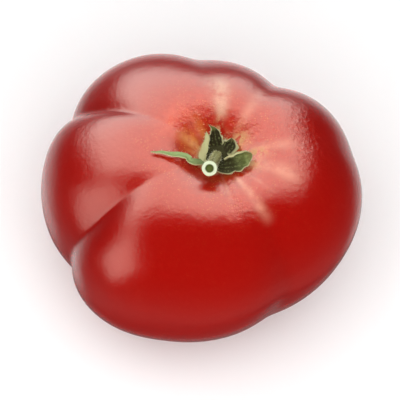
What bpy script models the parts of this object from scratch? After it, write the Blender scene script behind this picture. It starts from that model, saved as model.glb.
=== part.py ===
"""A pink beefsteak tomato as picked: a lobed fruit, its calyx of dry sepals and the cut stub of its stem.

Sizes below are in millimetres and the scene is in metres, with +Z up. The fruit stands on a small
flat ring round its blossom end, and the origin lies under the middle of its outline, on that plane.
"""

import math

import bmesh
import bpy
from mathutils import Vector
from mathutils.geometry import interpolate_bezier

MM = 0.001

# The fruit: an egg with full shoulders, wider than it is tall.
FRUIT_RADIUS = 46.0
SHOULDER_HEIGHT = 29.5  # from the widest level up to the top of the egg
BASE_DEPTH = 38.0  # from the widest level down to the bottom of the egg
FULLNESS = 2.2  # 2 is a plain ellipse, and more is squarer
SWELL_FULL = 0.9  # sine of the polar angle from which the swellings have their whole size
DENT_SLOPE = 1.15  # parts of height to one of radius in the way that a fold presses in at 45 degrees
BOWL_DEPTH = 8.5  # the hollow round the stem
BOWL_RADIUS = 13.0
SCAR_RADIUS = 4.4  # the corky disc that the calyx sits on
BLOSSOM_DEPTH = 2.5  # the hollow at the blossom end
BLOSSOM_RADIUS = 9.0
REST_CUT = 0.35  # how much of the bottom is worn flat where the fruit lies
STEM_LEAN = (7.3, -1.2)  # the stem end sits off the middle of the fruit
LEAN_START = 0.6  # share of the base depth, under the widest level, where the lean begins
FRUIT_SIDES = 96
FRUIT_RINGS = 40

# Folds between the lobes: azimuth in degrees, depth, reach in degrees towards lower and
# higher azimuths, and softness of the valley in degrees.
FOLDS = (
    (207, 5.5, 19, 12, 1.6),
    (149.5, 5.3, 17, 8.5, 1.3),
    (95.5, 3.2, 14, 14, 4.0),
    (57, 4.3, 15, 15, 3.5),
    (11, 1.8, 14, 14, 7.0),
    (303.5, 3.6, 15, 15, 4.0),
    (257, 1.0, 14, 14, 8.0),
)
# Slow swellings of the outline: waves round the fruit, share of the radius, and azimuth of a crest.
SWELLS = ((1, 0.035, 174), (2, 0.040, -29), (3, 0.027, 5), (4, 0.010, 42))
# Polar angles in degrees, 0 at the stem, between which a fold deepens, and between which it fades by a share.
FOLD_RISE = (8, 66)
FOLD_FADES = ((92, 158, 0.8), (132, 160, 1.0))

# The calyx: a low fleshy disc with six dry sepals that grow out of its rim.
GAP = 0.3  # air between neighbouring pieces
# radius and height over the gap, from the flat top round the rim to the foot
DISC_PROFILE = ((2.2, 0.93), (2.7, 0.95), (3.2, 0.9), (3.6, 0.75), (3.9, 0.5), (3.75, 0.2), (3.3, 0.05))
DISC_SIDES = 24
ROOT_THICKNESS = 0.8
TIP_THICKNESS = 0.65
THIN_FROM = 0.5  # share of a sepal's length from which it has the thickness of its tip
OPENING = (0.05, 0.4)  # shares of the length between which its fold opens
TAPER = 1.7  # higher keeps the blade wide for longer before its point
SEPAL_STEPS = 14
SEPAL_LANES = (-1.0, -0.5, 0.0, 0.5, 0.75, 1.0)
LANE_STEPS = 12
# Each sepal: knots of its middle line as azimuth in degrees, distance from the stem and height of its face
# over the gap, then full width, share of it at the root, where along the length it is widest, how blunt its
# point is, the fold of each half, how far its left margin curls in and the roll at its tip, in degrees.
SEPALS = {
    "left": (
        ((215, 2.6, 0.85), (210, 5.6, 1.15), (204, 7.7, 1.05), (195, 8.7, 1.8))
        + ((190.5, 12.2, 1.25), (187, 15.4, 0.95), (185.5, 18.3, 0.9)),
        (2.7, 0.62, 0.3, 0.7),
        (24, 20, 8),
    ),
    "back_left": (
        ((200, 2.6, 0.85), (148, 3.3, 1.9), (121, 4.8, 3.3), (119, 5.9, 4.3)),
        (2.5, 0.7, 0.4, 0.8),
        (-12, 0, -10),
    ),
    "back": (
        ((90, 2.6, 0.85), (91, 3.5, 2.1), (92, 4.7, 3.7), (96, 5.7, 4.7), (107, 6.7, 5.4)),
        (4.6, 0.8, 0.15, 1.3),
        (-16, 0, -8),
    ),
    "back_right": (
        ((34, 2.6, 0.85), (31, 3.6, 1.4), (30, 4.7, 2.0), (40, 5.9, 2.8)),
        (6.0, 0.62, 0.4, 0.8),
        (-10, 0, 6),
    ),
    "right": (
        ((-80, 2.6, 0.85), (-64, 5.0, 1.45), (-38, 6.3, 1.5), (-20, 8.2, 1.55), (-10.5, 10.3, 1.6)),
        (6.6, 0.3, 0.6, 0.55),
        (18, 110, 6),
    ),
    "front": (
        ((266, 2.6, 0.85), (265, 3.6, 0.95), (263, 4.6, 0.95), (262, 5.6, 1.0)),
        (3.4, 0.62, 0.3, 0.85),
        (14, 0, 0),
    ),
}

# The pedicel: a ridged green stub that bends over, cut square, with a hollow pith. The knots are those of
# a Bezier curve from the foot to the cut.
PEDICEL_KNOTS = ((0.2, -0.8, 1.8), (0.3, -1.3, 3.65), (-1.75, -6.2, 4.4), (-1.8, -7.6, 6.9))
PEDICEL_RADII = (1.52, 1.53, 1.55, 1.6, 1.65, 1.75, 1.95, 2.17)  # from the foot to the cut
PEDICEL_STEPS = 15
PEDICEL_SIDES = 20
PEDICEL_RIDGES = 5
RIDGE_SHARE = 0.05
PITH_RADIUS = 1.22
PITH_DEPTH = 1.3
PITH_TAPER = 0.8  # the floor of the pith against its mouth
CUT_BEVEL = 0.12
RING_START = (0, 1, 0.6)  # the points of a ring are counted from square to this and to the line

TANGENT_REACH = 0.02  # share of a sepal's length on each side over which its direction is taken
SKIN_HALVINGS = 30  # of the polar angles up to SKIN_REACH, in the search for a place on the skin
SKIN_REACH = 75
SHARP_EDGE = 40  # degrees between two faces from which their edge is drawn sharp


def smooth_step(value, low, high):
    share = min(1.0, max(0.0, (value - low) / (high - low)))
    return share * share * (3 - 2 * share)


def turn_between(azimuth, other_degrees):
    """The angle from other_degrees to azimuth, in degrees, from -180 to 180."""
    return (math.degrees(azimuth) - other_degrees + 180) % 360 - 180


def fold_depth(azimuth, polar):
    """How far the folds press the skin in. They start beside the stem and fade under the fruit."""
    along = math.degrees(polar)
    strength = smooth_step(along, *FOLD_RISE)
    for start, end, share in FOLD_FADES:
        strength *= 1 - share * smooth_step(along, start, end)
    depth = 0.0
    for fold_azimuth, deep, below, above, soft in FOLDS:
        turn = turn_between(azimuth, fold_azimuth)
        reach = below if turn < 0 else above
        depth += deep * math.exp(-(math.hypot(turn, soft) - soft) / reach)
    return depth * strength


def fruit_point(azimuth, polar):
    """A point of the skin, over the widest level. polar is 0 at the stem and pi at the blossom end."""
    sine = math.sin(polar)
    cosine = math.cos(polar)
    power = 2 / FULLNESS
    swell = sum(share * math.cos(waves * (azimuth - math.radians(at))) for waves, share, at in SWELLS)
    radius = FRUIT_RADIUS * sine**power * (1 + swell * smooth_step(sine, 0, SWELL_FULL))
    half_height = SHOULDER_HEIGHT if cosine >= 0 else -BASE_DEPTH
    height = half_height * abs(cosine) ** power
    outwards = Vector((sine, DENT_SLOPE * cosine)).normalized()
    pressed = fold_depth(azimuth, polar)
    radius -= pressed * outwards.x
    height -= pressed * outwards.y
    if cosine >= 0:
        height -= BOWL_DEPTH * math.exp(-((max(radius, SCAR_RADIUS) / BOWL_RADIUS) ** 2))
    else:
        height += BLOSSOM_DEPTH * math.exp(-((radius / BLOSSOM_RADIUS) ** 2))
    lean = smooth_step(height, -LEAN_START * BASE_DEPTH, SHOULDER_HEIGHT)
    return Vector(
        (
            radius * math.cos(azimuth) + lean * STEM_LEAN[0],
            radius * math.sin(azimuth) + lean * STEM_LEAN[1],
            height,
        )
    )


def rest_height():
    """The level at which the bottom is flat: a little over the lowest point of the skin."""
    lower_half = [math.pi * (0.5 + 0.5 * step / 200) for step in range(201)]
    return min(fruit_point(0.0, polar).z for polar in lower_half) + REST_CUT


def stem_point():
    """The middle of the corky disc, which the calyx sits on."""
    return fruit_point(0.0, 0.0)


def skin_height(azimuth, reach):
    """The skin's height over the scar at that distance from the stem, found by halving the polar angle."""
    stem = stem_point()
    low, high = 0.0, math.radians(SKIN_REACH)
    for _ in range(SKIN_HALVINGS):
        middle = (low + high) / 2
        if (fruit_point(azimuth, middle) - stem).xy.length < reach:
            low = middle
        else:
            high = middle
    return fruit_point(azimuth, low).z - stem.z


def material(name, colour, roughness):
    made = bpy.data.materials.new(name)
    made.use_nodes = True
    shader = made.node_tree.nodes["Principled BSDF"]
    shader.inputs["Base Color"].default_value = (*colour, 1.0)
    shader.inputs["Roughness"].default_value = roughness
    shader.inputs["Metallic"].default_value = 0.0
    return made


def object_from(bm, name, finish):
    """Writes a bmesh in millimetres as a smooth shaded object in metres."""
    bmesh.ops.scale(bm, vec=(MM, MM, MM), verts=bm.verts)
    mesh = bpy.data.meshes.new(name)
    bm.to_mesh(mesh)
    bm.free()
    mesh.shade_smooth()
    mesh.set_sharp_from_angle(angle=math.radians(SHARP_EDGE))
    mesh.materials.append(finish)
    made = bpy.data.objects.new(name, mesh)
    bpy.context.scene.collection.objects.link(made)
    return made


def join_rings(bm, rings):
    """Skins a list of rings of vertices, and closes both ends with a face."""
    for ring, following in zip(rings, rings[1:]):
        for i in range(len(ring)):
            j = (i + 1) % len(ring)
            bm.faces.new((ring[i], ring[j], following[j], following[i]))
    bm.faces.new(list(reversed(rings[0])))
    bm.faces.new(rings[-1])


def build_fruit(finish):
    """A sphere whose points are moved to the lobed skin, with the bottom worn flat."""
    bm = bmesh.new()
    bmesh.ops.create_uvsphere(bm, u_segments=FRUIT_SIDES, v_segments=FRUIT_RINGS, radius=1.0)
    flat = rest_height()
    for vertex in bm.verts:
        azimuth = math.atan2(vertex.co.y, vertex.co.x)
        polar = math.acos(max(-1.0, min(1.0, vertex.co.z)))
        skin = fruit_point(azimuth, polar)
        vertex.co = (skin.x, skin.y, max(skin.z - flat, 0.0))
    return object_from(bm, "fruit", finish)


def through_knots(knots, share):
    """A point of the Catmull-Rom curve through the knots, whose end spans are drawn out straight."""
    drawn = [2 * knots[0] - knots[1], *knots, 2 * knots[-1] - knots[-2]]
    place = min(1.0, max(0.0, share)) * (len(knots) - 1)
    span = min(int(place), len(knots) - 2)
    t = place - span
    a, b, c, d = drawn[span : span + 4]
    steady = 2 * b + (c - a) * t
    return (steady + (2 * a - 5 * b + 4 * c - d) * t**2 + (3 * b - a - 3 * c + d) * t**3) / 2


def sepal_centre(knots, share):
    """A point of the middle line on a sepal's face, from the middle of the scar."""
    plan = [Vector((r * math.cos(math.radians(a)), r * math.sin(math.radians(a)), up)) for a, r, up in knots]
    centre = through_knots(plan, share)
    centre.z += GAP + skin_height(math.atan2(centre.y, centre.x), centre.xy.length)
    return centre


def sepal_half_width(outline, share):
    """Swells like a sine from the root to the widest place, and is drawn in to a blunt point."""
    width, root, widest, point = outline
    if share < widest:
        part = root + (1 - root) * math.sin(0.5 * math.pi * share / widest)
    else:
        part = (1 - ((share - widest) / (1 - widest)) ** TAPER) ** point
    return max(TIP_THICKNESS / 2, 0.5 * width * part)


def lane_offset(lane, fold, curl):
    """Where a lane lies across and up for a half width of 1, and how the blade leans there."""
    across = rise = 0.0
    part = abs(lane) / LANE_STEPS
    for step in range(LANE_STEPS):
        lean = fold + (curl * (part * (step + 0.5)) ** 3 if lane > 0 else 0.0)
        across += part * math.cos(lean)
        rise += part * math.sin(lean)
    if lane == 0:
        return 0.0, 0.0, 0.0
    if lane < 0:
        return -across, rise, -fold
    return across, rise, fold + curl * lane**3


def add_sepal(name, sepal, collection):
    """A folded blade: a sheet along the middle line, thickened downwards, as an object to be joined."""
    knots, outline, bends = sepal
    fold, curl, roll = (math.radians(bend) for bend in bends)
    bm = bmesh.new()
    rows = []
    drops = {}
    for step in range(SEPAL_STEPS + 1):
        share = step / SEPAL_STEPS
        centre = sepal_centre(knots, share)
        ahead = sepal_centre(knots, share + TANGENT_REACH) - sepal_centre(knots, share - TANGENT_REACH)
        tangent = ahead.normalized()
        level = Vector((0, 0, 1)).cross(tangent).normalized()
        normal = tangent.cross(level)
        side = level * math.cos(roll * share) + normal * math.sin(roll * share)
        up = normal * math.cos(roll * share) - level * math.sin(roll * share)
        half = sepal_half_width(outline, share)
        open_share = smooth_step(share, *OPENING)
        thickness = ROOT_THICKNESS + (TIP_THICKNESS - ROOT_THICKNESS) * smooth_step(share, 0.0, THIN_FROM)
        row = []
        for lane in SEPAL_LANES:
            across, rise, lean = lane_offset(lane, fold * open_share, curl * open_share)
            vertex = bm.verts.new(centre + (side * across + up * rise) * half)
            drops[vertex] = (up * math.cos(lean) - side * math.sin(lean)) * thickness
            row.append(vertex)
        rows.append(row)
    for row, following in zip(rows, rows[1:]):
        for i in range(len(row) - 1):
            bm.faces.new((row[i], following[i], following[i + 1]))
            bm.faces.new((row[i], following[i + 1], row[i + 1]))
    under = {}
    for vertex, drop in drops.items():
        under[vertex] = bm.verts.new(vertex.co - drop)
    for face in list(bm.faces):
        bm.faces.new([under[vertex] for vertex in reversed(face.verts)])
    rim = [edge for edge in bm.edges if len(edge.link_faces) == 1 and edge.verts[0] in under]
    for edge in rim:
        first, second = edge.verts
        bm.faces.new((first, second, under[second], under[first]))
    bmesh.ops.recalc_face_normals(bm, faces=bm.faces)
    mesh = bpy.data.meshes.new(name)
    bm.to_mesh(mesh)
    bm.free()
    collection.objects.link(bpy.data.objects.new(name, mesh))


def build_calyx(finish):
    """The disc is a turned profile, and one union joins the sepals to it."""
    bm = bmesh.new()
    rings = []
    for radius, height in DISC_PROFILE:
        turns = [2 * math.pi * i / DISC_SIDES for i in range(DISC_SIDES)]
        rings.append(
            [bm.verts.new((radius * math.cos(t), radius * math.sin(t), height + GAP)) for t in turns]
        )
    join_rings(bm, rings)
    bmesh.ops.recalc_face_normals(bm, faces=bm.faces)
    mesh = bpy.data.meshes.new("calyx")
    bm.to_mesh(mesh)
    bm.free()
    disc = bpy.data.objects.new("calyx", mesh)
    bpy.context.scene.collection.objects.link(disc)

    sepals = bpy.data.collections.new("sepals")
    bpy.context.scene.collection.children.link(sepals)
    for name, sepal in SEPALS.items():
        add_sepal(name, sepal, sepals)
    union = disc.modifiers.new("sepals", "BOOLEAN")
    union.operation = "UNION"
    union.solver = "MANIFOLD"  # EXACT leaves a loose sliver where two sepals cross
    union.operand_type = "COLLECTION"
    union.collection = sepals
    graph = bpy.context.evaluated_depsgraph_get()
    joined = bpy.data.meshes.new_from_object(disc.evaluated_get(graph))
    for cutter in list(sepals.objects):
        bpy.data.objects.remove(cutter)
    bpy.data.collections.remove(sepals)
    bpy.data.objects.remove(disc)

    bm = bmesh.new()
    bm.from_mesh(joined)
    bpy.data.meshes.remove(joined)
    return object_from(bm, "calyx", finish)


def pedicel_radius(share):
    """The stub's radius along its length, read between the listed radii."""
    place = share * (len(PEDICEL_RADII) - 1)
    at = min(int(place), len(PEDICEL_RADII) - 2)
    return PEDICEL_RADII[at] + (PEDICEL_RADII[at + 1] - PEDICEL_RADII[at]) * (place - at)


def build_pedicel(finish):
    """Rings along a bent line, then the bevel, the cut face and the wall and floor of the pith."""
    bm = bmesh.new()
    knots = [Vector(knot) for knot in PEDICEL_KNOTS]
    line = interpolate_bezier(*knots, PEDICEL_STEPS)
    tip_way = (line[-1] - line[-2]).normalized()

    def ring(centre, tangent, radius, ridged):
        side = tangent.cross(Vector(RING_START)).normalized()
        other = tangent.cross(side)
        made = []
        for i in range(PEDICEL_SIDES):
            turn = 2 * math.pi * i / PEDICEL_SIDES
            out = radius * (1 + (RIDGE_SHARE * math.cos(PEDICEL_RIDGES * turn) if ridged else 0))
            made.append(bm.verts.new(centre + side * out * math.cos(turn) + other * out * math.sin(turn)))
        return made

    rings = []
    for i, centre in enumerate(line):
        ahead = line[min(i + 1, len(line) - 1)] - line[max(i - 1, 0)]
        tangent = Vector((0, 0, 1)) if i == 0 else ahead.normalized()
        share = i / (len(line) - 1)
        radius = pedicel_radius(share)
        if i == len(line) - 1:
            centre = centre - tip_way * CUT_BEVEL
        rings.append(ring(centre, tangent, radius, ridged=True))
    cut = line[-1]
    rings.append(ring(cut, tip_way, PEDICEL_RADII[-1] - CUT_BEVEL, ridged=False))
    rings.append(ring(cut, tip_way, PITH_RADIUS, ridged=False))
    rings.append(ring(cut - tip_way * PITH_DEPTH, tip_way, PITH_RADIUS * PITH_TAPER, ridged=False))
    join_rings(bm, rings)
    bmesh.ops.recalc_face_normals(bm, faces=bm.faces)
    return object_from(bm, "pedicel", finish)


def main():
    for old in list(bpy.data.objects):
        bpy.data.objects.remove(old)

    fruit = build_fruit(material("pink_skin", (0.60, 0.035, 0.03), 0.3))
    calyx = build_calyx(material("dry_sepal", (0.10, 0.15, 0.035), 0.75))
    pedicel = build_pedicel(material("green_stem", (0.24, 0.30, 0.10), 0.65))

    corners = [Vector(corner) for corner in fruit.bound_box]
    middle = (corners[0] + corners[6]) / 2
    tomato = bpy.data.objects.new("tomato", None)
    tomato.location = (-middle.x, -middle.y, 0)
    bpy.context.scene.collection.objects.link(tomato)
    for piece in (fruit, calyx, pedicel):
        piece.parent = tomato
    stem = stem_point() * MM
    scar = Vector((stem.x, stem.y, stem.z - rest_height() * MM))
    calyx.location = scar
    pedicel.location = scar + Vector((0, 0, GAP * MM))


main()
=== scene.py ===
import math

import bpy
import numpy as np
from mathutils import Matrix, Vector


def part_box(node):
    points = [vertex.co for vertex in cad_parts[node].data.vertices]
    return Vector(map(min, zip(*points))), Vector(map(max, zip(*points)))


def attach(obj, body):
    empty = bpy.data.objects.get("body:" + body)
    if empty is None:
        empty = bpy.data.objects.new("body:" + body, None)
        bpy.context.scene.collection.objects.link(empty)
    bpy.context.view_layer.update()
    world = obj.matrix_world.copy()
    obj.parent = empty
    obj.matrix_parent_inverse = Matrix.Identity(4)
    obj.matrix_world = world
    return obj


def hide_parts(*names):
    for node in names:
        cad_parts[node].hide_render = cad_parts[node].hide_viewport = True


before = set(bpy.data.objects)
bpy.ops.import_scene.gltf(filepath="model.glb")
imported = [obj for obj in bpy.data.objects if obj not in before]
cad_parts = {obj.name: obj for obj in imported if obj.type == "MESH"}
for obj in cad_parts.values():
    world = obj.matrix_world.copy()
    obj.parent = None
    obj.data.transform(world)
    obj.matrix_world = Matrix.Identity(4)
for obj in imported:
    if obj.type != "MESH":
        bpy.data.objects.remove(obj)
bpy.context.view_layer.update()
print("frame loaded")

mm = 0.001  # the shapes below are in millimetres, and a mesh gets metres
degree = math.pi / 180


def smoothStep(value, low, high):
    # 0 below low, 1 above high, and the cubic 3t^2 - 2t^3 between
    share = np.clip((value - low) / (high - low), 0, 1)
    return share * share * (3 - 2 * share)


def turnFrom(azimuth, centre):
    # degrees from centre round to azimuth, wrapped to -180..180
    return (azimuth / degree - centre + 180) % 360 - 180


def unit(vectors):
    # each vector divided by its length
    return vectors / np.linalg.norm(vectors, axis=-1, keepdims=True)


def aroundLine(line, first, second, firstSize, secondSize):
    # line + first * firstSize + second * secondSize, at every place along the line and round it
    return (
        line[:, None, :]
        + first[:, None, :] * firstSize[..., None]
        + second[:, None, :] * secondSize[..., None]
    )


def pointFields(fields, shape):
    # one value a point of a closed grid, where a field is its grid and the values at its two poles
    return {
        key: np.concatenate([[first], (grid * np.ones(shape)).ravel(), [last]])
        for key, (grid, first, last) in fields.items()
    }


def meshFromArrays(name, points, faces, attributes=None):
    # puts whole arrays into a smooth shaded mesh, with float attributes on its points
    mesh = bpy.data.meshes.new(name)
    mesh.from_pydata((points * mm).tolist(), [], faces)
    mesh.shade_smooth()
    for key, values in (attributes or {}).items():
        layer = mesh.attributes.new(key, "FLOAT", "POINT")
        layer.data.foreach_set("value", np.asarray(values, np.float32))
    mesh.update()
    piece = bpy.data.objects.new(name, mesh)
    bpy.context.scene.collection.objects.link(piece)
    return piece


def closedGrid(rows, cols, outwards=True):
    # faces of a tube of rows x cols points, with one pole point before it and one after it
    here = 1 + np.arange((rows - 1) * cols).reshape(rows - 1, cols)
    beside = np.roll(here, -1, axis=1)
    quads = np.stack([here, here + cols, beside + cols, beside], -1).reshape(-1, 4)
    ring = 1 + np.arange(cols)
    after = np.roll(ring, -1)
    top = np.stack([0 * ring, ring, after], -1)
    last = (rows - 1) * cols
    bottom = np.stack([np.full(cols, 1 + rows * cols), after + last, ring + last], -1)
    if not outwards:
        quads, top, bottom = quads[:, ::-1], top[:, ::-1], bottom[:, ::-1]
    return top.tolist() + quads.tolist() + bottom.tolist()


def finishPiece(piece, node, material):
    # a finished piece gets its material, rides on the one body and stands for its CAD node, which it hides
    piece.data.materials.append(material)
    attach(piece, "root")
    if node:
        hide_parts(node)
    print(piece.name, len(piece.data.polygons), "faces")


class Painter:
    # keeps the short calls that a node tree is written in: one node each, its inputs by name
    def __init__(self, name, world=False):
        self.block = (bpy.data.worlds if world else bpy.data.materials).new(name)
        self.block.use_nodes = True
        self.tree = self.block.node_tree
        self.shader = self.tree.nodes["Background" if world else "Principled BSDF"]
        self.place = self.add("ShaderNodeTexCoord").outputs["Generated" if world else "Object"]

    def add(self, kind, **values):
        node = self.tree.nodes.new(kind)
        for key, value in values.items():
            setattr(node, key, value)
        return node

    def feed(self, socket, value):
        if isinstance(value, bpy.types.NodeSocket):
            self.tree.links.new(value, socket)
        elif isinstance(value, tuple) and socket.type == "RGBA":
            socket.default_value = (*value, 1.0)
        else:
            socket.default_value = value

    def fill(self, node, **values):
        # an input's name is written with _ for each space
        for key, value in values.items():
            self.feed(node.inputs[key.replace("_", " ")], value)
        return node

    def set(self, **values):
        self.fill(self.shader, **values)
        return self.block

    def own(self, key):
        return self.add("ShaderNodeAttribute", attribute_name=key).outputs["Fac"]

    def noise(self, scale, detail=3.0, roughness=0.5):
        node = self.add("ShaderNodeTexNoise")
        self.fill(node, Vector=self.place, Scale=scale, Detail=detail, Roughness=roughness)
        return node.outputs["Fac"]

    def cells(self, scale):
        node = self.add("ShaderNodeTexVoronoi")
        return self.fill(node, Vector=self.place, Scale=scale).outputs["Distance"]

    def ramp(self, value, low, high, start=0.0, end=1.0):
        # start below low, end above high, and a smooth step between
        node = self.add("ShaderNodeMapRange", interpolation_type="SMOOTHSTEP")
        self.fill(node, Value=value, From_Min=low, From_Max=high, To_Min=start, To_Max=end)
        return node.outputs["Result"]

    def combine(self, operation, first, second=0.0):
        node = self.add("ShaderNodeMath", operation=operation)
        self.feed(node.inputs[0], first)
        self.feed(node.inputs[1], second)
        return node.outputs["Value"]

    def times(self, first, second):
        return self.combine("MULTIPLY", first, second)

    def larger(self, first, second):
        return self.combine("MAXIMUM", first, second)

    def blend(self, share, first, second):
        node = self.add("ShaderNodeMix", data_type="RGBA")
        self.feed(node.inputs["Factor"], share)
        self.feed(node.inputs[6], first)  # the colour sockets A, B and Result
        self.feed(node.inputs[7], second)
        return node.outputs[2]

    def bump(self, height, distance, strength=1.0, below=None):
        node = self.add("ShaderNodeBump")
        self.fill(node, Height=height, Distance=distance, Strength=strength)
        if below is not None:
            self.feed(node.inputs["Normal"], below)
        return node.outputs["Normal"]


# the fruit is one closed, lobed skin
fruitShape = {
    "radius": 46.0,
    "shoulder": 29.5,  # up from the widest level
    "base": 38.0,  # down from the widest level
    "fullness": 2.2,
    "bowl": (8.5, 13.0),  # depth and radius of the hollow round the stem
    "scar": 4.4,  # radius of the level middle of that hollow
    "blossom": (2.5, 9.0),  # depth and radius of the hollow underneath
    "restCut": 0.35,  # how far up the lowest ring is cut level
    "lean": (7.3, -1.2),  # how far the stem end leans along x and y
    "leanFrom": 0.6,  # share of the base at which the lean starts
    # azimuth, depth, reach to lower and to higher azimuths, softness, all but the depth in degrees
    "folds": (
        (207, 5.5, 19, 12, 1.6),
        (149.5, 5.3, 17, 8.5, 1.3),
        (95.5, 3.2, 14, 14, 4.0),
        (57, 4.3, 15, 15, 3.5),
        (11, 1.8, 14, 14, 7.0),
        (303.5, 3.6, 15, 15, 4.0),
        (257, 1.0, 14, 14, 8.0),
    ),
    "foldStart": (8, 66),  # degrees from the stem over which the folds deepen
    "foldEase": (92, 158, 0.8),  # degrees over which they get shallower, and the share they lose
    "foldEnd": (132, 160),  # degrees over which they end
    "foldRise": 1.15,  # how much more the folds press down by the stem than in at the side
    # waves round the fruit, share of the radius, azimuth of a crest
    "swells": ((1, 0.035, 174), (2, 0.040, -29), (3, 0.027, 5), (4, 0.010, 42)),
    "swellFull": 0.9,  # sine of the polar angle at which the swells are full
    "sides": 384,
    "rings": 236,
    "waviness": 0.10,  # slow unevenness of a real skin
    # low places by the stem: azimuth, half width in degrees, from and to millimetres off the stem, depth
    "dents": (
        (-100, 36, 6, 11.5, 0.75),
        (-74, 6, 17, 27, 0.4),
        (146, 26, 6, 13, 0.5),
        (-150, 24, 6, 12, 0.6),
        (62, 14, 6, 11, 0.3),
    ),
    "dentStart": (3.0, 5.0),  # millimetres off the stem over which the dents deepen
    "wrinkle": 0.004,  # fine ripples that run out from the stem
    "wrinkleBand": (6, 11, 16, 34),  # degrees from the stem where they grow, are full, fade and are gone
    "markEnd": 80,  # degrees from the stem past which there are no marks or dents
    "reachScale": 40,  # millimetres off the stem at which the stemReach attribute is 1
    "undersideBand": (100, 165),  # degrees from the stem over which the skin turns dull
    "blossomScar": (0.04, 0.12),  # sines of the polar angles over which the scar underneath fades
}


def foldDepth(azimuth, polar):
    # each fold is a cusp exp(-(sqrt(turn^2 + soft^2) - soft) / reach), faded at the stem and underneath
    along = polar / degree
    easeLow, easeHigh, easeShare = fruitShape["foldEase"]
    strength = smoothStep(along, *fruitShape["foldStart"])
    strength = strength * (1 - easeShare * smoothStep(along, easeLow, easeHigh))
    strength = strength * (1 - smoothStep(along, *fruitShape["foldEnd"]))
    depth = 0 * azimuth
    for centre, deep, below, above, soft in fruitShape["folds"]:
        turn = turnFrom(azimuth, centre)
        reach = np.where(turn < 0, below, above)
        depth = depth + deep * np.exp(-(np.hypot(turn, soft) - soft) / reach)
    return depth * strength


def fruitPoints(azimuth, polar, extra=0.0):
    # a superellipse swept round the stem axis, swollen by cosine waves, pressed in along the folds and
    # out by extra, hollowed at both ends by bells exp(-(radius / width)^2), and leaning to the stem end
    sine, cosine = np.sin(polar), np.cos(polar)
    power = 2 / fruitShape["fullness"]
    swell = sum(size * np.cos(k * (azimuth - crest * degree)) for k, size, crest in fruitShape["swells"])
    swell = swell * smoothStep(sine, 0, fruitShape["swellFull"])
    radius = fruitShape["radius"] * np.abs(sine) ** power * (1 + swell)
    halfHeight = np.where(cosine >= 0, fruitShape["shoulder"], -fruitShape["base"])
    height = halfHeight * np.abs(cosine) ** power
    outwards, upwards = sine, fruitShape["foldRise"] * cosine
    length = np.hypot(outwards, upwards)
    pressed = foldDepth(azimuth, polar) - extra
    radius = radius - pressed * outwards / length
    height = height - pressed * upwards / length
    bowlDepth, bowlWidth = fruitShape["bowl"]
    blossomDepth, blossomWidth = fruitShape["blossom"]
    bowl = bowlDepth * np.exp(-((np.maximum(radius, fruitShape["scar"]) / bowlWidth) ** 2))
    blossom = blossomDepth * np.exp(-((radius / blossomWidth) ** 2))
    height = np.where(cosine >= 0, height - bowl, height + blossom)
    lean = smoothStep(height, -fruitShape["leanFrom"] * fruitShape["base"], fruitShape["shoulder"])
    leanX, leanY = fruitShape["lean"]
    x = radius * np.cos(azimuth) + lean * leanX
    y = radius * np.sin(azimuth) + lean * leanY
    return np.stack([x, y, height], -1)


# the fruit stands on its lowest ring, cut level, with the middle of its plan over the origin
downwards = np.pi * (0.5 + 0.5 * np.arange(201) / 200)
restLevel = fruitPoints(0 * downwards, downwards)[:, 2].min() + fruitShape["restCut"]
sweepAzimuth, sweepPolar = np.meshgrid(np.linspace(0, 2 * np.pi, 97)[:-1], np.linspace(0, np.pi, 41))
sweep = fruitPoints(sweepAzimuth, sweepPolar).reshape(-1, 3)
middle = (sweep.min(0) + sweep.max(0)) / 2
ground = np.array([middle[0], middle[1], restLevel])  # taken off every point of the fruit's own frame
stem = fruitPoints(np.array(0.0), np.array(0.0)) - ground  # the middle of the corky scar


def stemPlace(points):
    # distance off the stem and azimuth round it, both in plan
    offset = points - stem
    return np.hypot(offset[..., 0], offset[..., 1]), np.arctan2(offset[..., 1], offset[..., 0])


def skinHeight(azimuth, reach, steepest=75, halvings=30):
    # height of the skin over the scar at that distance off the stem: the polar angle that gives it is
    # found by halving the range from 0 to the steepest one, in degrees
    low, high = 0 * reach, 0 * reach + steepest * degree
    for _ in range(halvings):
        half = (low + high) / 2
        nearer = stemPlace(fruitPoints(azimuth, half) - ground)[0] < reach
        low, high = np.where(nearer, half, low), np.where(nearer, high, half)
    return (fruitPoints(azimuth, low) - ground - stem)[..., 2]


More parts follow.
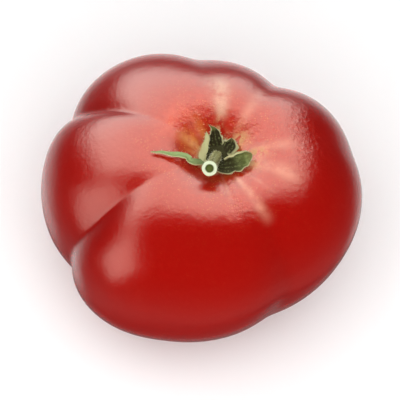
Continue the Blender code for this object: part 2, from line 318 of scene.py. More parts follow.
# marks on the skin: azimuth at 10 mm off the stem, turn per mm further out, half width in degrees, from
# and to millimetres off the stem, strength
skinMarks = {
    "tan": ((82, 0.5, 8.0, 11, 25, 1.0), (128, 0, 7, 6, 13, 0.35), (150, 0, 9, 6, 12, 0.3)),
    # pale streaks, partly the skin's own and partly painted highlights along shallow ridges and grooves
    "paleStreakHighlight": (
        (52, 0.3, 6, 9, 25, 0.45),
        (4, 0, 5, 9, 24, 0.45),
        (-21, 0, 6, 8, 26, 0.75),
        (-56, 0, 3.6, 10, 26, 1.0),
        (-41, 0, 2.0, 10, 20, 0.5),
        (-17, 0, 9, 11, 15, 0.8),
        (-76, 0, 2.5, 6, 18, 0.3),
    ),
    "gold": (
        (150, 0, 13, 5, 12, 1.0),
        (118, 0, 8, 5, 13, 0.5),
        (172, 0, 8, 5, 10, 0.6),
        (-100, 0, 28, 5, 9, 0.2),
        (-60, 0, 20, 5, 10, 0.4),
        (20, 0, 22, 5, 10, 0.4),
    ),
    "cork": (
        (60, 0, 20, 4, 7.6, 1.0),
        (160, 0, 20, 4, 6.5, 0.7),
        (36, 0, 13, 4, 11, 0.9),
        (-2, 0, 7, 9, 15, 0.7),
        (-22, 0, 9, 8, 13.5, 0.8),
        (84, 0, 6, 6, 12, 0.6),
    ),
    # where the skin is speckled with little bumps
    "grain": (
        (118, 0, 34, 4, 19, 1.0),
        (62, 0, 16, 4, 15, 0.8),
        (-72, 0, 11, 5, 25, 0.9),
        (-44, 0, 9, 7, 20, 0.7),
        (-105, 0, 30, 4, 11, 0.8),
        (190, 0, 22, 4, 14, 0.8),
        (15, 0, 40, 10, 32, 0.6),
        (100, 0, 40, 16, 30, 0.45),
    ),
    "ember": (
        (138, 0, 30, 5, 20, 1.0),
        (76, 0, 14, 5, 16, 0.7),
        (180, 0, 20, 5, 12, 0.5),
        (-60, 0, 50, 5, 12, 0.35),
    ),
}


def markField(azimuth, reach, marks, blur=2, tail=5, turnStart=10, turnEnd=40):
    # each mark is a bell across its azimuth times smooth ends along its length, and the largest one
    # shows; the blur, the tail of its outer end and where it turns are in millimetres
    field = 0 * azimuth
    for centre, drift, half, near, far, strength in marks:
        ends = smoothStep(reach, near - blur, near + blur) * (1 - smoothStep(reach, far - tail, far + blur))
        across = turnFrom(azimuth, centre + drift * (np.minimum(reach, turnEnd) - turnStart)) / half
        field = np.maximum(field, strength * np.exp(-(across**2)) * ends)
    return field


def slowWaves(azimuth, polar, seed, count=9, finest=7):
    # sum of cosines cos(a * azimuth + b * polar + phase) over the root of their number, with whole a, so
    # that the seam closes
    rng = np.random.default_rng(seed)
    total = 0 * azimuth
    for _ in range(count):
        around, down = int(rng.integers(1, finest)), rng.uniform(1, finest)
        total = total + np.cos(around * azimuth + down * polar + rng.uniform(0, 2 * np.pi)) / count**0.5
    return total


def makeFruit():
    # the skin formula on an even azimuth x polar grid, moved out by slow waves and ripples and in by
    # the dents, each of which is a bell across its azimuth with a smooth end
    sides, rings = fruitShape["sides"], fruitShape["rings"]
    azimuth, polar = np.meshgrid(2 * np.pi * np.arange(sides) / sides, np.pi * np.arange(1, rings) / rings)
    waves = fruitShape["waviness"] * slowWaves(azimuth, polar, seed=4) * np.sin(polar) ** 2
    grow, full, fade, gone = fruitShape["wrinkleBand"]
    near = smoothStep(polar / degree, grow, full) * (1 - smoothStep(polar / degree, fade, gone))
    coarse = np.cos(31 * azimuth + 2.2 * np.sin(3 * azimuth))
    fine = 0.7 * np.cos(47 * azimuth + 1.3 * np.cos(5 * azimuth))
    wrinkles = fruitShape["wrinkle"] * near * (coarse + fine)

    marked = polar < fruitShape["markEnd"] * degree
    reach, turned = stemPlace(fruitPoints(azimuth, polar, waves) - ground)
    dents = sum(
        depth * np.exp(-((turnFrom(turned, centre) / half) ** 2)) * (1 - smoothStep(reach, inner, outer))
        for centre, half, inner, outer, depth in fruitShape["dents"]
    )
    dents = dents * smoothStep(reach, *fruitShape["dentStart"]) * marked
    points = fruitPoints(azimuth, polar, waves + wrinkles - dents) - ground
    points[..., 2] = np.maximum(points[..., 2], 0)  # level where the fruit rests
    top = fruitPoints(np.zeros(1), np.zeros(1)) - ground
    bottom = fruitPoints(np.zeros(1), np.full(1, np.pi)) - ground
    everything = np.concatenate([top, points.reshape(-1, 3), bottom])

    reach, turned = stemPlace(points)
    farOff = 99.0  # past every mark
    reach = np.where(marked, reach, farOff)
    deepest = max(deep for _, deep, _, _, _ in fruitShape["folds"])
    blossomEnd = 1 - smoothStep(np.sin(polar), *fruitShape["blossomScar"])
    fields = {
        "stemReach": (np.clip(reach / fruitShape["reachScale"], 0, 1), 0, 1),
        # the fold depth, which the skin's colour turns into painted shade along the folds
        "fold": (np.clip(foldDepth(azimuth, polar) / deepest, 0, 1), 0, 0),
        "underside": (smoothStep(polar / degree, *fruitShape["undersideBand"]), 0, 1),
        "blossomEnd": (np.where(polar > np.pi / 2, blossomEnd, 0), 0, 1),
    }
    for key, marks in skinMarks.items():
        fields[key + "Mark"] = (markField(turned, reach, marks), 0, 0)
    faces = closedGrid(rings - 1, sides)
    return meshFromArrays("fruit_skin", everything, faces, pointFields(fields, polar.shape))


skinLook = {
    # a darker red, used for the random darker mottling and as painted shade along the folds
    "deep": (0.22, 0.0012, 0.0008),
    "body": (0.30, 0.0020, 0.0012),
    "rosy": (0.33, 0.0045, 0.0022),
    "ember": (0.47, 0.036, 0.014),
    "ruddy": (0.38, 0.008, 0.004),
    "gold": (0.70, 0.29, 0.06),
    "tan": (0.60, 0.32, 0.22),
    # colour of the pale streaks, which are partly painted highlights
    "paleStreakHighlight": (0.66, 0.26, 0.17),
    "cork": (0.60, 0.48, 0.22),
    # how much of each colour shows where it is strongest
    # how far the folds are painted darker red, as painted shade
    "foldShadeShare": 0.55,
    "mottleShare": 0.6,
    "fleckShare": 0.5,
    "goldShare": 0.8,
    "markShare": 0.85,
    "roughness": 0.25,
    "corkRoughness": 0.75,
    # noise scale, depth in metres and strength of the bumps
    "pores": (900, 0.0001, 0.6),
    "unevenness": (160, 0.0004, 0.3),
    "speckle": (520, 0.00038, 1.0),
}


def skinMaterial():
    # red layers blended one over the other, with painted shade along the folds, then flecks, marks (the pale
    # streaks partly painted highlights) and cork, and three bumps
    paint = Painter("tomato_skin")
    reach = paint.own("stemReach")
    colour = paint.blend(paint.noise(28, 3), skinLook["body"], skinLook["rosy"])
    # painted shade: the skin is darker red along the folds, by their depth
    colour = paint.blend(paint.times(paint.own("fold"), skinLook["foldShadeShare"]), colour, skinLook["deep"])

    # fine mottling, strongest round the stem
    crowd = paint.ramp(reach, 0.10, 0.75, 1.0, 0.05)
    mottle = paint.noise(700, 4, 0.7)
    darker = paint.times(crowd, paint.ramp(mottle, 0.36, 0.48, skinLook["mottleShare"], 0.0))
    lighter = paint.times(crowd, paint.ramp(mottle, 0.52, 0.66, 0.0, skinLook["mottleShare"]))
    colour = paint.blend(darker, colour, skinLook["deep"])
    colour = paint.blend(lighter, colour, skinLook["ember"])

    # warmer skin round the stem, with orange-red patches
    grainScale, grainDepth, grainStrength = skinLook["speckle"]
    near = paint.ramp(reach, 0.12, 0.55, 0.35, 0.0)
    grain = paint.noise(grainScale, 4, 0.65)
    ruddy = paint.times(paint.own("grainMark"), paint.ramp(grain, 0.42, 0.60, 0.8, 0.0))
    colour = paint.blend(ruddy, colour, skinLook["ruddy"])
    patches = paint.times(paint.own("emberMark"), paint.ramp(paint.noise(210, 3, 0.6), 0.25, 0.6))
    colour = paint.blend(paint.larger(near, patches), colour, skinLook["ember"])

    # gold flecks under the skin, thick by the stem and thin further out
    fleck = paint.ramp(paint.cells(1500), 0.14, 0.36, 1.0, 0.0)
    broken = paint.ramp(paint.noise(330, 3), 0.40, 0.66)
    flecks = paint.times(paint.times(fleck, broken), crowd)
    colour = paint.blend(paint.times(flecks, skinLook["fleckShare"]), colour, skinLook["gold"])

    # gold patches, pale streaks that are partly painted highlights along shallow ridges and grooves, and tan
    # strip, each broken up by noise
    patchNoise = paint.ramp(paint.noise(190, 4, 0.65), 0.36, 0.62)
    softNoise = paint.ramp(paint.noise(120, 4, 0.6), 0.25, 0.60)
    for key, uneven, share in (
        ("gold", patchNoise, skinLook["goldShare"]),
        ("paleStreakHighlight", softNoise, skinLook["markShare"]),
        ("tan", softNoise, skinLook["markShare"]),
    ):
        mark = paint.times(paint.own(key + "Mark"), uneven)
        colour = paint.blend(paint.times(mark, share), colour, skinLook[key])

    # the corky ring by the calyx and the small blossom scar
    wandering = paint.combine("ADD", reach, paint.times(paint.noise(500, 3), 0.05))
    ring = paint.ramp(wandering, 0.125, 0.185, 1.0, 0.0)
    frayed = paint.times(paint.own("corkMark"), paint.ramp(paint.noise(600, 3, 0.6), 0.35, 0.55))
    cork = paint.larger(paint.larger(ring, frayed), paint.own("blossomEnd"))
    colour = paint.blend(paint.times(cork, skinLook["markShare"]), colour, skinLook["cork"])
    roughness = paint.ramp(cork, 0.0, 1.0, skinLook["roughness"], skinLook["corkRoughness"])
    roughness = paint.larger(roughness, paint.ramp(paint.own("underside"), 0.0, 1.0, 0.0, 0.6))

    normal = None
    for scale, depth, strength in (skinLook["pores"], skinLook["unevenness"]):
        normal = paint.bump(paint.noise(scale, 2), depth, strength, normal)
    normal = paint.bump(paint.times(paint.own("grainMark"), grain), grainDepth, grainStrength, normal)
    paint.set(Base_Color=colour, Roughness=roughness, Normal=normal, IOR=1.4, Specular_Tint=(1.0, 0.93, 0.76))
    return paint.set(Subsurface_Weight=0.12, Subsurface_Scale=0.004, Subsurface_Radius=(1.0, 0.22, 0.10))


finishPiece(makeFruit(), "fruit", skinMaterial())


# the calyx is a low fleshy disc with six dry sepals
calyxShape = {
    "gap": 0.3,  # between the skin and the calyx
    # radius and height over the gap, from the middle out to the rim and back under it
    "disc": (
        (1.6, 0.85),
        (2.2, 0.93),
        (2.7, 0.95),
        (3.2, 0.9),
        (3.6, 0.75),
        (3.9, 0.5),
        (3.75, 0.2),
        (3.3, 0.05),
        (2.6, 0.0),
    ),
    "discRings": 48,
    "discSides": 96,
    "discWave": 0.06,
    "rootThickness": 0.8,
    "tipThickness": 0.42,
    "tipThinning": 0.6,  # share of the thickness lost over the last tenth
    # knots along each blade: azimuth, distance from the stem, height of its face over the gap; then the
    # width, its share at the root, where it is widest, how pointed the tip is, the fold, how far the left
    # margin rolls in, the roll of the whole blade, where its pale rim starts, the strength of the painted
    # shade in its hollow with where it starts to fade and ends, the freshness and a seed
    "sepals": {
        "left": {
            "knots": (
                (215, 2.6, 0.85), (210, 5.6, 1.15), (204, 7.7, 1.05), (195, 8.7, 1.8),
                (190.5, 12.2, 1.25), (187, 15.4, 0.95), (185.5, 18.3, 0.9),
            ),
            "width": 2.2, "root": 0.8, "widest": 0.25, "point": 0.9, "fold": 24, "rollIn": 20, "roll": 8,
            "rim": 0.84, "dark": (0.35, 0.1, 0.4), "fresh": 1.0, "seed": 1,
        },
        "backLeft": {
            "knots": (
                (222, 2.8, 0.85), (212, 4.0, 1.1), (186, 3.7, 1.5),
                (146, 3.6, 2.5), (121, 4.8, 3.5), (118, 5.7, 4.2),
            ),
            "width": 2.3, "root": 0.7, "widest": 0.4, "point": 0.9, "fold": -12, "rollIn": 0, "roll": -10,
            "rim": -0.2, "dark": (0.0, 0.3, 0.6), "fresh": 0.0, "seed": 6,
        },
        "back": {
            "knots": ((90, 2.6, 0.85), (91, 3.5, 2.1), (92, 4.7, 3.7), (96, 5.7, 4.7), (107, 6.7, 5.4)),
            "width": 4.6, "root": 0.8, "widest": 0.15, "point": 1.3, "fold": -16, "rollIn": 0, "roll": -8,
            "rim": 0.76, "dark": (1.0, 0.60, 0.82), "fresh": 0.0, "seed": 2,
        },
        "backRight": {
            "knots": ((34, 2.6, 0.85), (31, 3.6, 1.4), (30, 4.7, 2.0), (40, 5.9, 2.8)),
            "width": 6.0, "root": 0.62, "widest": 0.4, "point": 0.8, "fold": -10, "rollIn": 0, "roll": 6,
            "rim": 0.62, "dark": (1.0, 0.9, 1.3), "fresh": 0.0, "seed": 3,
        },
        "right": {
            "knots": (
                (-80, 2.6, 0.85), (-64, 5.0, 1.45), (-38, 6.3, 1.5),
                (-20, 8.2, 1.55), (-10.5, 10.3, 1.6),
            ),
            "width": 6.6, "root": 0.3, "widest": 0.6, "point": 0.55, "fold": 18, "rollIn": 190, "roll": 6,
            "rim": 0.86, "dark": (0.95, 0.40, 0.88), "fresh": 0.1, "seed": 4,
        },
        "front": {
            "knots": ((266, 2.6, 0.85), (265, 3.6, 0.95), (263, 4.6, 0.95), (262, 5.6, 1.0)),
            "width": 3.4, "root": 0.62, "widest": 0.3, "point": 0.85, "fold": 14, "rollIn": 0, "roll": 0,
            "rim": 0.84, "dark": (0.6, 0.9, 1.3), "fresh": 0.0, "seed": 5,
        },
    },
    "steps": 96,
    "around": 60,
    "lastStep": 0.997,  # share of the line at which the blade closes to its tip
    "narrowest": 0.16,  # half width
    "taper": 1.7,
    "lens": (0.8, 0.75),  # how boxy the section is across and up, less as it nears 1
    # place across from the middle to the margin, width and depth of the veins
    "veins": ((0.0, 0.07, 1.0), (0.42, 0.06, 0.6), (0.72, 0.05, 0.4)),
    "veinDepth": 0.07,
    "marginWave": 0.12,
    "scallop": 0.1,
    # the wider pale rim on a rolled margin is partly a painted highlight along its lit edge
    "rolledRimHighlight": 0.26,  # how much wider the pale rim is on a margin that rolls right over
}


def throughKnots(knots, share):
    # a Catmull-Rom curve through the knots: on each span 2p1 + (p2-p0)t + (2p0-5p1+4p2-p3)t^2 +
    # (3p1-p0-3p2+p3)t^3, halved, with the end spans drawn out straight
    knots = np.concatenate([2 * knots[:1] - knots[1:2], knots, 2 * knots[-1:] - knots[-2:-1]])
    place = np.clip(share, 0, 1) * (len(knots) - 3)
    span = np.minimum(place.astype(int), len(knots) - 4)
    t = (place - span)[:, None]
    a, b, c, d = (knots[span + k] for k in range(4))
    return (2 * b + (c - a) * t + (2 * a - 5 * b + 4 * c - d) * t**2 + (3 * b - a - 3 * c + d) * t**3) / 2


def sepalLine(knots, share):
    # the curve runs over the ground plan, and its height is the skin's below it, the gap and the knots' own
    plan = np.array([(r * math.cos(a * degree), r * math.sin(a * degree), h) for a, r, h in knots])
    line = throughKnots(plan, share)
    below = skinHeight(np.arctan2(line[:, 1], line[:, 0]), np.hypot(line[:, 0], line[:, 1]))
    line[:, 2] += below + calyxShape["gap"]
    return line


def crossSection(lane, fold, rollIn, samples=401, blur=41):
    # half a blade leans by the fold, and its left margin by rollIn x lane^3 more: the place across and up
    # are the integrals of the cosine and the sine of that lean, which is given too, blurred
    fine = np.linspace(-1, 1, samples)
    lean = np.sign(fine) * (fold + np.where(fine > 0, rollIn * fine**3, 0))
    across = np.cumsum(np.cos(lean)) * (fine[1] - fine[0])
    rise = np.cumsum(np.sin(lean)) * (fine[1] - fine[0])
    centre = samples // 2
    across, rise = across - across[centre], rise - rise[centre]
    blurred = np.convolve(lean, np.ones(blur) / blur, "same")
    return [np.interp(lane, fine, values) for values in (across, rise, blurred)]


def makeSepal(sepal):
    # a lens section carried along the sepal's line: cos gives the place across, sin the upper or under
    # face, the halves lean by the fold, veins sink into both faces and the margins wave as sines
    steps, around = calyxShape["steps"], calyxShape["around"]
    share = np.linspace(0, calyxShape["lastStep"], steps)
    line = sepalLine(sepal["knots"], share)
    tangent = unit(np.gradient(line, axis=0))
    level = unit(np.cross([0.0, 0.0, 1.0], tangent))
    normal = np.cross(tangent, level)
    tilt = (sepal["roll"] * degree * share)[:, None]
    side = level * np.cos(tilt) + normal * np.sin(tilt)
    up = normal * np.cos(tilt) - level * np.sin(tilt)

    widest = sepal["widest"]
    rising = sepal["root"] + (1 - sepal["root"]) * np.sin(0.5 * np.pi * np.minimum(share / widest, 1))
    falling = (1 - (np.maximum(share - widest, 0) / (1 - widest)) ** calyxShape["taper"]) ** sepal["point"]
    half = np.maximum(calyxShape["narrowest"], 0.5 * sepal["width"] * rising * falling)[:, None]
    thin = smoothStep(share, 0, 0.5)
    thick = calyxShape["rootThickness"] * (1 - thin) + calyxShape["tipThickness"] * thin
    thick = (thick * (1 - calyxShape["tipThinning"] * smoothStep(share, 0.9, 1.0)))[:, None]

    turn = 2 * np.pi * np.arange(around)[None, :] / around
    flatAcross, flatUp = calyxShape["lens"]
    lane = np.sign(np.cos(turn)) * np.abs(np.cos(turn)) ** flatAcross
    face = np.sign(np.sin(turn)) * np.abs(np.sin(turn)) ** flatUp
    phase = np.random.default_rng(sepal["seed"]).uniform(0, 2 * np.pi, 4)
    s = share[:, None]
    opening = smoothStep(s, 0.05, 0.4)
    fade = smoothStep(s, 0.12, 0.35) * (1 - smoothStep(s, 0.9, 1.0))
    edge = np.abs(lane)
    wave = np.sin(13 * s + phase[0]) * (lane > 0) + np.sin(11 * s + phase[1]) * (lane < 0)
    wave = (wave + 0.4 * np.sin(31 * s + phase[2])) * edge**2.5 * fade * calyxShape["marginWave"]
    scallop = 1 + calyxShape["scallop"] * np.sin(27 * s + phase[3] + 2 * lane) * edge**3 * fade
    veins = sum(deep * np.exp(-(((edge - at) / wide) ** 2)) for at, wide, deep in calyxShape["veins"])
    veins = veins + 0.25 * np.sin(40 * s + 9 * edge) * (1 - edge**4)
    groove = calyxShape["veinDepth"] * veins * fade * np.sign(face)
    fold, rollIn = sepal["fold"] * degree, sepal["rollIn"] * degree
    shapes = [crossSection(lane[0], fold * k, rollIn * k) for k in opening[:, 0]]
    across, rise, lean = (np.array([shape[k] for shape in shapes]) for k in range(3))
    layer = wave - thick / 2 + face * thick / 2 - groove
    offsetSide = across * half * scallop - layer * np.sin(lean)
    offsetUp = rise * half * scallop + layer * np.cos(lean)
    points = aroundLine(line, side, up, offsetSide, offsetUp)
    tip = sepalLine(sepal["knots"], np.array([1.0]))[0] - up[-1] * calyxShape["tipThickness"] * 0.5
    everything = np.concatenate([points[0].mean(0)[None], points.reshape(-1, 3), tip[None]])

    rolled = sepal["rollIn"] > 90
    # a rolled margin gets a wider pale rim: the dry edge's colour, widened as a painted highlight along the
    # lit edge
    rim = sepal["rim"] - np.where(lane > 0, calyxShape["rolledRimHighlight"] * opening * rolled, 0)
    strength, start, end = sepal["dark"]
    # painted shade: the upper face is darkened towards the root and in the hollow, where shade falls
    shade = strength * (1 - smoothStep(s, start, end)) * smoothStep(face, -0.5, 0.1)
    streak = 0.5 + 0.5 * np.sin(13 * lane + 3 * np.sin(5 * s + phase[1]) + 4 * s + phase[0])
    fields = {
        "margin": (smoothStep(edge, rim, rim + 0.14), 0, 1),
        "upper": (smoothStep(face, -0.4, 0.4), 0, 0.5),
        "along": (s, 0, 1),
        "dark": (shade, strength, 0),
        "fresh": (sepal["fresh"], sepal["fresh"], sepal["fresh"]),
        "streak": (streak, 0, 0),
    }
    faces = closedGrid(steps, around, outwards=False)
    return everything, faces, pointFields(fields, (steps, around)), (points, side, up)


def makeDisc():
    # a turned profile with twelve shallow waves round its rim
    profile = np.array(calyxShape["disc"])
    profile[:, 1] += calyxShape["gap"]
    rings, sides = calyxShape["discRings"], calyxShape["discSides"]
    place = np.linspace(0, len(profile) - 1, rings)
    radius = np.interp(place, np.arange(len(profile)), profile[:, 0])[:, None]
    height = np.interp(place, np.arange(len(profile)), profile[:, 1])[:, None]
    turn = 2 * np.pi * np.arange(sides)[None, :] / sides
    rim = smoothStep(radius, 2.7, 3.6)
    radius = radius + calyxShape["discWave"] * np.cos(12 * turn + 1.5 * np.cos(2 * turn)) * rim
    points = np.stack([radius * np.cos(turn), radius * np.sin(turn), height + 0 * turn], -1)
    poles = np.array([[0, 0, profile[0, 1]], [0, 0, profile[-1, 1]]])
    everything = np.concatenate([poles[:1], points.reshape(-1, 3), poles[1:]])
    zero = np.zeros(len(everything))
    fields = dict.fromkeys(("margin", "along", "fresh", "streak"), zero)
    # the disc's top is painted most of the way to the shade colour, as painted shade
    fields.update(upper=zero + 1, dark=zero + 0.9)
    return everything, closedGrid(rings, sides), fields, None


def makeCalyx():
    # the disc's shell and the six blades in one mesh, each blade's root sunk in the disc
    shells = [makeDisc()] + [makeSepal(sepal) for sepal in calyxShape["sepals"].values()]
    points, faces, fields = [], [], {}
    count = 0
    for shellPoints, shellFaces, shellFields, _ in shells:
        faces += [[corner + count for corner in face] for face in shellFaces]
        points.append(shellPoints)
        count += len(shellPoints)
        for key, values in shellFields.items():
            fields.setdefault(key, []).append(values)
    fields = {key: np.concatenate(values) for key, values in fields.items()}
    piece = meshFromArrays("calyx_sepals", np.concatenate(points) + stem, faces, fields)
    return piece, [shell[3] for shell in shells[1:]]


sepalLook = {
    "under": (0.28, 0.32, 0.15),
    "upper": (0.075, 0.080, 0.018),
    # the colour of the painted shade on the blades and the disc
    "shade": (0.020, 0.016, 0.007),
    "fresh": (0.28, 0.38, 0.16),
    "edge": (0.52, 0.50, 0.26),
    "vein": (0.26, 0.30, 0.11),
    "dry": (0.20, 0.15, 0.06),
    # how much of each colour shows where it is strongest
    "mottleShare": 0.7,
    "streakShare": 0.45,
    "dryShare": 0.5,
    "edgeShare": 0.8,
}


def sepalMaterial():
    # two green faces with painted shade at the root and in the hollows, pale mottling, streaks and margins
    # and a dry tip
    paint = Painter("dry_sepal")
    colour = paint.blend(paint.own("upper"), sepalLook["under"], sepalLook["upper"])
    colour = paint.blend(paint.own("fresh"), colour, sepalLook["fresh"])
    mottled = paint.ramp(paint.noise(700, 4, 0.6), 0.40, 0.72)
    colour = paint.blend(paint.times(mottled, sepalLook["mottleShare"]), colour, sepalLook["vein"])
    # painted shade over the blades' roots and hollows and over the disc
    colour = paint.blend(paint.own("dark"), colour, sepalLook["shade"])
    broken = paint.ramp(paint.noise(1300, 4, 0.7), 0.44, 0.68, 0.0, sepalLook["streakShare"])
    streaks = paint.times(paint.ramp(paint.own("streak"), 0.35, 0.9), broken)
    colour = paint.blend(streaks, colour, sepalLook["vein"])
    dryTip = paint.times(paint.ramp(paint.own("along"), 0.8, 1.0), sepalLook["dryShare"])
    colour = paint.blend(dryTip, colour, sepalLook["dry"])
    colour = paint.blend(paint.times(paint.own("margin"), sepalLook["edgeShare"]), colour, sepalLook["edge"])
    fine = paint.bump(paint.noise(1800, 3), 0.00012, 0.7)
    paint.set(Base_Color=colour, Roughness=0.72, Normal=fine, IOR=1.4, Specular_IOR_Level=0.12)
    return paint.set(Subsurface_Weight=0.05, Subsurface_Scale=0.001, Subsurface_Radius=(0.6, 1.0, 0.3))


calyx, bladeData = makeCalyx()
finishPiece(calyx, "calyx", sepalMaterial())


# the pedicel is a ridged stub with a cut end
stubShape = {
    "knots": ((0.2, -0.7, 0.98), (0.35, -1.6, 3.3), (-1.75, -6.6, 4.2), (-1.8, -8.0, 6.7)),
    "radii": (1.52, 1.53, 1.55, 1.6, 1.65, 1.75, 1.95, 2.17),
    "uprightRings": 3,  # so many rings at the foot lie level on the disc
    "ridges": 5,
    "ridgeShare": 0.05,
    "twist": 0.25,  # turn of the fine lines from end to end, in radians
    "pithRadius": 1.12,  # of the hollow in the cut
    "pithDepth": 1.3,
    "cutBevel": 0.12,
    "steps": 90,
    "around": 72,
}


def stubLine(share):
    # a cubic Bezier curve through the four knots
    a, b, c, d = (np.array(knot) for knot in stubShape["knots"])
    t = share[:, None]
    return a * (1 - t) ** 3 + 3 * b * t * (1 - t) ** 2 + 3 * c * t**2 * (1 - t) + d * t**3


def makeStub():
    # a ring of the listed radius carried along the curve, then in over the cut and down into the pith,
    # with the ridges and the fine lines as cosines round it
    steps, around = stubShape["steps"], stubShape["around"]
    share = np.linspace(0, 1, steps)
    line = stubLine(share)
    tangent = unit(np.gradient(line, axis=0))
    tangent[: stubShape["uprightRings"]] = (0, 0, 1)
    radii = stubShape["radii"]
    radius = np.interp(share * (len(radii) - 1), np.arange(len(radii)), radii)
    tipWay = tangent[-1]
    bevel, pith, depth = stubShape["cutBevel"], stubShape["pithRadius"], stubShape["pithDepth"]
    line[-1] -= tipWay * bevel
    # rings of the cut end: distance back from the cut and radius
    ending = np.array([
        (0.5 * bevel, radii[-1] - 0.15 * bevel),
        (0.0, radii[-1] - bevel),
        (-0.05, radii[-1] * 0.86),
        (-0.08, (radii[-1] + pith) / 2),
        (-0.04, pith * 1.2),
        (0.08, pith * 1.04),
        (0.35, pith * 0.98),
        (0.7, pith * 0.93),
        (depth * 0.85, pith * 0.86),
        (depth, pith * 0.7),
        (depth, pith * 0.35),
    ])
    line = np.concatenate([line, stubLine(np.array([1.0]))[0] - ending[:, :1] * tipWay])
    tangent = np.concatenate([tangent, np.tile(tipWay, (len(ending), 1))])
    radius = np.concatenate([radius, ending[:, 1]])
    count = len(line)
    ridged = np.concatenate([np.ones(steps), np.linspace(0.6, 0, len(ending))])
    ridged = ridged * (1 - 0.6 * smoothStep(np.arange(count), 0.6 * steps, steps))

    side = unit(np.cross(tangent, np.array([0.0, 1.0, 0.6])))
    other = np.cross(tangent, side)
    turn = 2 * np.pi * np.arange(around)[None, :] / around
    twisted = turn + stubShape["twist"] * np.linspace(0, 1, count)[:, None]
    ridges = stubShape["ridgeShare"] * np.cos(stubShape["ridges"] * turn)
    fine = 0.012 * np.cos(17 * twisted + 2 * np.sin(3 * turn)) + 0.010 * np.cos(29 * twisted)
    size = radius[:, None] * (1 + (ridges + fine) * ridged[:, None])
    points = aroundLine(line, side, other, size * np.cos(turn), size * np.sin(turn))
    points[..., 2] += calyxShape["gap"]
    line[:, 2] += calyxShape["gap"]
    everything = np.concatenate([line[:1], points.reshape(-1, 3), line[-1:]]) + stem

    place = np.arange(count)[:, None]
    hollow = smoothStep(place, steps + 4.2, steps + 6.5)
    cut = smoothStep(place, steps - 0.5, steps + 0.8) * (1 - hollow)
    fields = {
        "cut": (cut, 0, 0),
        "hollow": (hollow, 0, 1),
        "ridge": (0.5 + 0.5 * np.cos(stubShape["ridges"] * turn), 0, 0),
    }
    faces = closedGrid(count, around, outwards=False)
    piece = meshFromArrays("pedicel_stub", everything, faces, pointFields(fields, (count, around)))
    return piece, points[:steps], line[:steps]


stubLook = {
    "green": (0.13, 0.13, 0.045),
    "ridge": (0.24, 0.24, 0.10),
    "brown": (0.16, 0.10, 0.05),
    "cut": (0.60, 0.66, 0.46),
    "pith": (0.10, 0.12, 0.03),
    "brownShare": 0.6,
}


def stubMaterial():
    # green with paler ridges and brown patches, a pale cut face and darker colour down the hollow in it
    paint = Painter("green_stalk")
    colour = paint.blend(paint.own("ridge"), stubLook["green"], stubLook["ridge"])
    rusty = paint.ramp(paint.noise(420, 4, 0.6), 0.5, 0.75)
    colour = paint.blend(paint.times(rusty, stubLook["brownShare"]), colour, stubLook["brown"])
    colour = paint.blend(paint.own("cut"), colour, stubLook["cut"])
    colour = paint.blend(paint.own("hollow"), colour, stubLook["pith"])
    grain = paint.bump(paint.noise(1500, 3), 0.0001, 0.6)
    paint.set(Base_Color=colour, Roughness=0.62, Normal=grain, IOR=1.42, Specular_IOR_Level=0.25)
    return paint.set(Subsurface_Weight=0.08, Subsurface_Scale=0.0015, Subsurface_Radius=(0.8, 1.0, 0.4))


stub, stubSkin, stubAxis = makeStub()
finishPiece(stub, "pedicel", stubMaterial())


# fine hairs on the stalk and on the sepals' margins
hairShape = {
    "stub": 260,
    "perSepal": 46,
    "length": (0.35, 0.85),
    "root": 0.035,  # radius
    "sunk": 0.08,  # depth of the roots in what they grow from
    "spread": 0.35,  # random lean
    "stubSpan": (0.15, 0.94),  # shares of the stalk between which they grow
    "sepalSpan": (0.2, 0.96),
    "seed": 12,
}


def hairSet(roots, ways, rng):
    # each hair is a three sided spike: three root points round the way it grows, and one tip point
    count = len(roots)
    length = rng.uniform(*hairShape["length"], count)[:, None]
    ways = unit(ways + hairShape["spread"] * rng.normal(size=(count, 3)))
    side = unit(np.cross(ways, np.array([0.3, 0.5, 0.8])))
    other = np.cross(ways, side)
    corners = [
        roots + hairShape["root"] * (side * math.cos(t) + other * math.sin(t)) - ways * hairShape["sunk"]
        for t in (0, 2 * math.pi / 3, 4 * math.pi / 3)
    ]
    points = np.stack([*corners, roots + ways * length], 1).reshape(-1, 3)
    first = 4 * np.arange(count)[:, None]
    faces = np.concatenate([first + np.array(f) for f in ((0, 1, 3), (1, 2, 3), (2, 0, 3), (2, 1, 0))])
    return points, faces


def makeHairs():
    # roots at random places on the stalk, growing away from its axis, and on both margins of each blade
    rng = np.random.default_rng(hairShape["seed"])
    steps, around = stubSkin.shape[:2]
    start, end = hairShape["stubSpan"]
    row = rng.integers(int(steps * start), int(steps * end), hairShape["stub"])
    col = rng.integers(0, around, hairShape["stub"])
    roots = [stubSkin[row, col]]
    ways = [unit(stubSkin[row, col] - stubAxis[row])]
    start, end = hairShape["sepalSpan"]
    for points, side, up in bladeData:
        row = rng.integers(int(points.shape[0] * start), int(points.shape[0] * end), hairShape["perSepal"])
        edge = np.where(rng.random(hairShape["perSepal"]) < 0.5, 0, points.shape[1] // 2)
        sign = np.where(edge == 0, 1.0, -1.0)[:, None]
        roots.append(points[row, edge])
        ways.append(unit(side[row] * sign + 0.5 * up[row]))
    points, faces = hairSet(np.concatenate(roots), np.concatenate(ways), rng)
    return meshFromArrays("fine_hairs", points + stem, faces.tolist())


def hairMaterial():
    paint = Painter("pale_hair")
    return paint.set(Base_Color=(0.62, 0.64, 0.46), Roughness=0.6, IOR=1.4)


finishPiece(makeHairs(), None, hairMaterial())


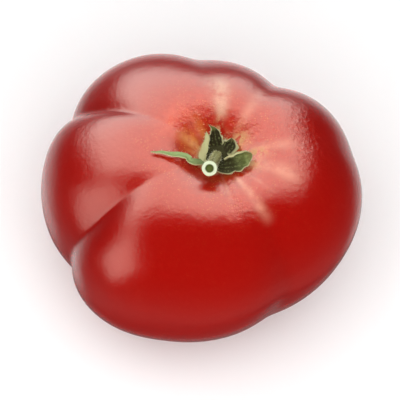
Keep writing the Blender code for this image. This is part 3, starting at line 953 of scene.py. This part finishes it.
# a pale floor, two area lamps, and soft boxes and a pale ground for the skin to mirror
studio = {
    "floorColour": (0.97, 0.97, 0.97),
    "floorRoughness": 0.85,
    "floorHalf": 3.0,  # metres, as all lengths here
    "lampTarget": (0, 0, 0.035),
    # azimuth from straight behind the fruit, elevation, distance, width, height, radiance
    "lamps": {
        "key_lamp": (-18, 50, 1.1, 1.5, 1.3, 0.3),
        "front_fill": (180, 56, 1.3, 2.4, 2.2, 2.25),
    },
    "ambient": 0.16,
    "mirrored": 0.02,  # what the skin mirrors away from the soft boxes
    # soft boxes: left, right, near and far edge in degrees from straight up, blur, radiance
    "boxes": ((-62, 36, 5, 88, 10, 10.2), (-86, -52, -48, -2, 10, 6.2)),
    "cutCorner": (1.33, 128, 154),  # they lack their far left corner: slope, and where it fades
    "farDim": (42, 92, 0.62),  # they get dimmer backwards: from and to where, and the share left
    # the pale ground: tilts from straight up where it starts, is full, starts to fade and is faint,
    # radiance, and the share left where it is faint
    "ground": (98, 125, 144, 153, 1.15, 0.2),
    "groundFront": (10, 70, 0.18),  # it grows backwards: from and to where, and its share in front
}


def makeFloor():
    # one square face, seen by the camera and left out of what the skin mirrors
    mesh = bpy.data.meshes.new("floor")
    half = studio["floorHalf"]
    corners = [(-half, -half, 0), (half, -half, 0), (half, half, 0), (-half, half, 0)]
    mesh.from_pydata(corners, [], [(0, 1, 2, 3)])
    floor = bpy.data.objects.new("floor", mesh)
    bpy.context.scene.collection.objects.link(floor)
    paint = Painter("pale_floor")
    mesh.materials.append(paint.set(Base_Color=studio["floorColour"], Roughness=studio["floorRoughness"]))
    floor.visible_glossy = False


def makeLights():
    # each lamp faces the fruit, its watts are radiance x pi x area, and the skin doesn't mirror it
    target = Vector(studio["lampTarget"])
    for name, (azimuth, elevation, distance, width, height, radiance) in studio["lamps"].items():
        turn, rise = azimuth * degree, elevation * degree
        flat = math.cos(rise)
        way = Vector((math.sin(turn) * flat, math.cos(turn) * flat, math.sin(rise)))
        light = bpy.data.lights.new(name, "AREA")
        light.shape = "RECTANGLE"
        light.size, light.size_y = width, height
        light.energy = radiance * math.pi * width * height
        light.cycles.use_multiple_importance_sampling = False  # so that no mirrored ray meets the lamp
        lamp = bpy.data.objects.new(name, light)
        lamp.location = target + way * distance
        lamp.rotation_euler = way.to_track_quat("Z", "Y").to_euler()
        lamp.visible_glossy = False
        bpy.context.scene.collection.objects.link(lamp)


def makeWorld():
    # a direction's tilt from straight up, spread to the right and backwards, gives its place on a flat
    # chart of the sky, where each soft box is a rectangle with blurred edges
    paint = Painter("studio", world=True)
    parts = paint.fill(paint.add("ShaderNodeSeparateXYZ"), Vector=paint.place)
    x, y, z = (parts.outputs[key] for key in "XYZ")
    tilt = paint.times(paint.combine("ARCCOSINE", z), 180 / math.pi)
    flat = paint.combine("SQRT", paint.combine("SUBTRACT", 1.0, paint.times(z, z)))
    flat = paint.larger(flat, 0.001)
    right = paint.times(tilt, paint.combine("DIVIDE", x, flat))
    back = paint.times(tilt, paint.combine("DIVIDE", y, flat))

    slope, whole, gone = studio["cutCorner"]
    dimFrom, dimTo, dimShare = studio["farDim"]
    corner = paint.ramp(paint.combine("SUBTRACT", back, paint.times(right, slope)), whole, gone, 1.0, 0.0)
    total = studio["mirrored"]
    for left, rightEnd, near, far, blur, radiance in studio["boxes"]:
        box = paint.times(corner, paint.ramp(back, dimFrom, dimTo, radiance, radiance * dimShare))
        for place, low, high in ((right, left, rightEnd), (back, near, far)):
            box = paint.times(box, paint.ramp(place, low - blur, low + blur))
            box = paint.times(box, paint.ramp(place, high - blur, high + blur, 1.0, 0.0))
        total = paint.combine("ADD", total, box)

    start, full, fades, faint, radiance, faintShare = studio["ground"]
    growFrom, growTo, frontShare = studio["groundFront"]
    paleGround = paint.ramp(tilt, start, full, 0.0, radiance)
    paleGround = paint.times(paleGround, paint.ramp(back, growFrom, growTo, frontShare, 1.0))
    paleGround = paint.times(paleGround, paint.ramp(tilt, fades, faint, 1.0, faintShare))
    total = paint.combine("ADD", total, paleGround)

    mixed = paint.add("ShaderNodeMix", data_type="FLOAT")
    paint.feed(mixed.inputs["Factor"], paint.add("ShaderNodeLightPath").outputs["Is Glossy Ray"])
    paint.feed(mixed.inputs[2], studio["ambient"])  # the number sockets A, B and Result
    paint.feed(mixed.inputs[3], total)
    world = paint.set(Strength=mixed.outputs[0], Color=(1.0, 1.0, 1.0))
    world.cycles.sampling_method = "NONE"  # so that the gloss never meets the light meant for matt surfaces
    bpy.context.scene.world = world


# where the photograph was taken from
view = {
    "azimuth": 0.0,
    "elevation": 60.8,
    "lens": 300.0,
    "sensor": 36.0,
    "fill": 0.80,  # the fruit's share of the frame's width
    "aimRise": 0.001,  # metres above the fruit's middle
}


def makeCamera():
    # stands back along the view so that the fruit fills its share of the frame's width
    low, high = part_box("fruit")
    azimuth, elevation = view["azimuth"] * degree, view["elevation"] * degree
    flat = math.cos(elevation)
    way = Vector((-math.sin(azimuth) * flat, -math.cos(azimuth) * flat, math.sin(elevation)))
    camera = bpy.data.cameras.new("camera")
    camera.lens, camera.sensor_width = view["lens"], view["sensor"]
    distance = (high.x - low.x) / view["fill"] * camera.lens / camera.sensor_width
    holder = bpy.data.objects.new("camera", camera)
    target = (low + high) / 2 + Vector((0, 0, view["aimRise"]))
    holder.location = target + way * distance
    holder.rotation_euler = way.to_track_quat("Z", "Y").to_euler()
    bpy.context.scene.collection.objects.link(holder)
    bpy.context.scene.camera = holder


makeFloor()
makeLights()
makeWorld()
makeCamera()
bpy.context.scene.view_settings.view_transform = "Standard"
print("studio ready")
